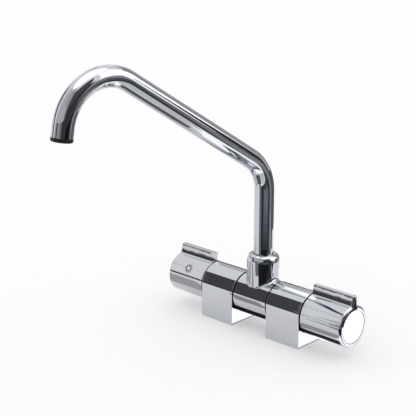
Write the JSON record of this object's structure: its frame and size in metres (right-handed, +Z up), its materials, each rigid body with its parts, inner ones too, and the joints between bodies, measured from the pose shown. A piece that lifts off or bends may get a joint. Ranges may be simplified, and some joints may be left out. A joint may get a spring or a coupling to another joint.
{
  "type": "folding caravan tap",
  "caption": "Chrome two-handle bridge tap on two feet, with quarter-turn lever handles and a bent swivelling tube spout whose barrel folds flat between the feet.",
  "frame": {"origin": "on the worktop's top face, midway between the two fixing studs, under the bar's axis", "axes": "+X along the bar to the right handle, -Y towards the user, +Z up"},
  "size_m": [0.1744, 0.2006, 0.2958],
  "materials": {
    "polished_chrome": "mirror-polished chrome plate on brass",
    "cap_chrome": "chrome plate on the end caps",
    "turned_brass": "turned brass, unplated",
    "nickel_brass": "nickel-plated brass fixing hardware",
    "zinc_steel": "zinc-plated steel",
    "stainless": "stainless spring or dowel steel",
    "black_rubber": "moulded EPDM rubber",
    "black_plastic": "moulded acetal, black",
    "white_plastic": "moulded PTFE, white",
    "mark_enamel": "baked enamel fill, dark grey",
    "white_ceramic": "lapped alumina ceramic, opaque"
  },
  "bodies": {
    "base": {"left_foot": "polished_chrome", "right_foot": "polished_chrome", "left_foot_gasket": "black_rubber", "right_foot_gasket": "black_rubber", "left_shank": "nickel_brass", "right_shank": "nickel_brass", "left_inlet_tail": "turned_brass", "right_inlet_tail": "turned_brass", "left_cartridge_body": "turned_brass", "right_cartridge_body": "turned_brass", "left_fixed_disc": "white_ceramic", "right_fixed_disc": "white_ceramic", "journal_dowels": "stainless", "worktop_rubber_washers": "black_rubber", "worktop_steel_washers": "zinc_steel", "backnuts": "nickel_brass", "inlet_seals": "black_rubber", "lip_seals": "black_rubber", "cartridge_seals": "black_rubber"},
    "barrel": {"fold_barrel": "polished_chrome", "journal_seals": "black_rubber", "collar_nut": "polished_chrome", "thrust_washer": "white_plastic", "slip_washer": "white_plastic", "swivel_stop_pin": "stainless"},
    "spout": {"spout_tube": "polished_chrome", "spout_ferrule": "turned_brass", "spout_seals": "black_rubber", "outlet_insert": "black_plastic", "flow_straightener": "black_plastic"},
    "left_handle_set": {"left_handle": "polished_chrome", "left_spindle": "turned_brass", "left_moving_disc": "white_ceramic", "left_spindle_seal": "black_rubber", "left_circlip": "stainless", "left_handle_screw": "zinc_steel", "left_end_cap": "cap_chrome", "hot_mark": "mark_enamel"},
    "right_handle_set": {"right_handle": "polished_chrome", "right_spindle": "turned_brass", "right_moving_disc": "white_ceramic", "right_spindle_seal": "black_rubber", "right_circlip": "stainless", "right_handle_screw": "zinc_steel", "right_end_cap": "cap_chrome"}
  },
  "joints": [
    {"name": "fold", "type": "hinge", "parent": "base", "child": "barrel", "pos_m": [0, 0, 0.0242], "axis": [1, 0, 0], "range_deg": [0, 90]},
    {"name": "swivel", "type": "hinge", "parent": "barrel", "child": "spout", "pos_m": [0, 0, 0.0242], "axis": [0, 0, 1], "range_deg": [-84, 96]},
    {"name": "left_turn", "type": "hinge", "parent": "base", "child": "left_handle_set", "pos_m": [-0.068, 0, 0.0242], "axis": [1, 0, 0], "range_deg": [0, 90]},
    {"name": "right_turn", "type": "hinge", "parent": "base", "child": "right_handle_set", "pos_m": [0.068, 0, 0.0242], "axis": [1, 0, 0], "range_deg": [0, 90]}
  ]
}
